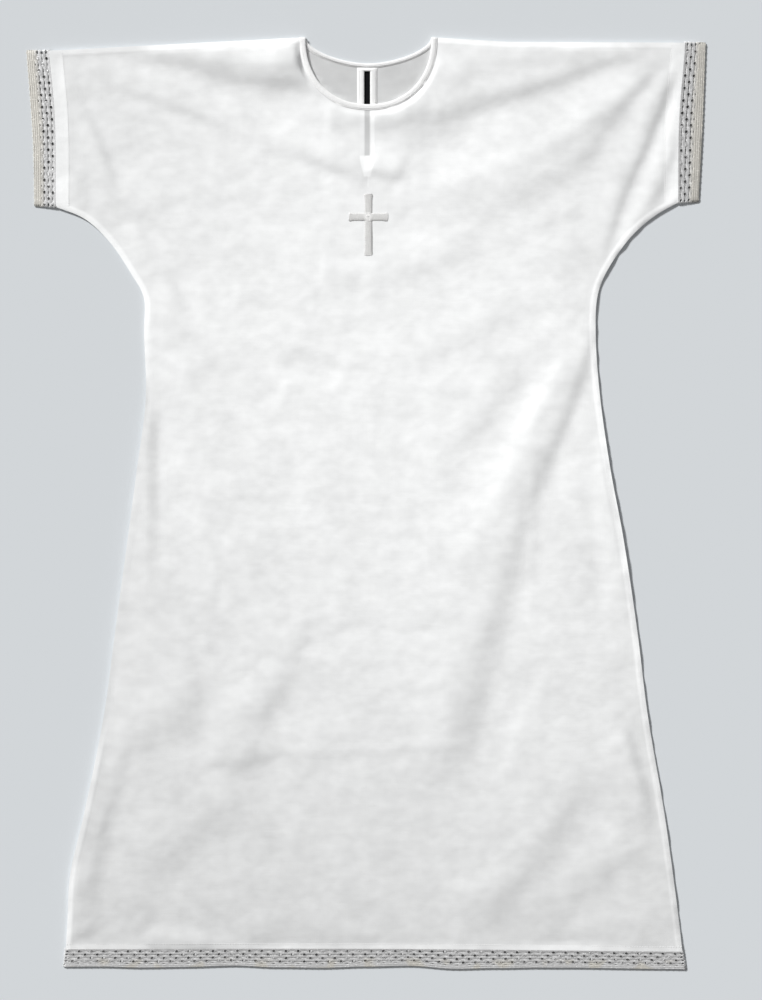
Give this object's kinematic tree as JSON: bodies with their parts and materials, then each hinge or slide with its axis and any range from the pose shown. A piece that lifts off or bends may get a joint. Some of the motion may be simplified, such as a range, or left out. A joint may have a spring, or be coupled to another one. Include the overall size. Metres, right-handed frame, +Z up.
{
  "type": "baptismal shirt",
  "caption": "White baptismal shirt laid flat, with short kimono sleeves, bound round neck with a back slit, silver lace on cuffs and hem, and an embroidered cross.",
  "frame": {"origin": "middle of the laid shirt's outline, on the surface that it lies on", "axes": "+Z up out of the surface, from the back to the front of the shirt; +Y from the hem to the shoulders; +X to the right as the front is seen"},
  "size_m": [0.7998, 1.1, 0.0091],
  "materials": {
    "cloth": "thin white plain-weave linen and cotton",
    "binding": "white bias binding",
    "lace": "openwork lace of silver thread",
    "thread": "satin-stitched silver thread"
  },
  "bodies": {
    "root": {"front_panel": "cloth", "back_panel": "cloth", "neck_binding_front": "binding", "neck_binding_back": "binding", "slit_binding": "binding", "cuff_lace_left": "lace", "cuff_lace_right": "lace", "hem_lace": "lace", "chest_cross": "thread"}
  },
  "joints": []
}
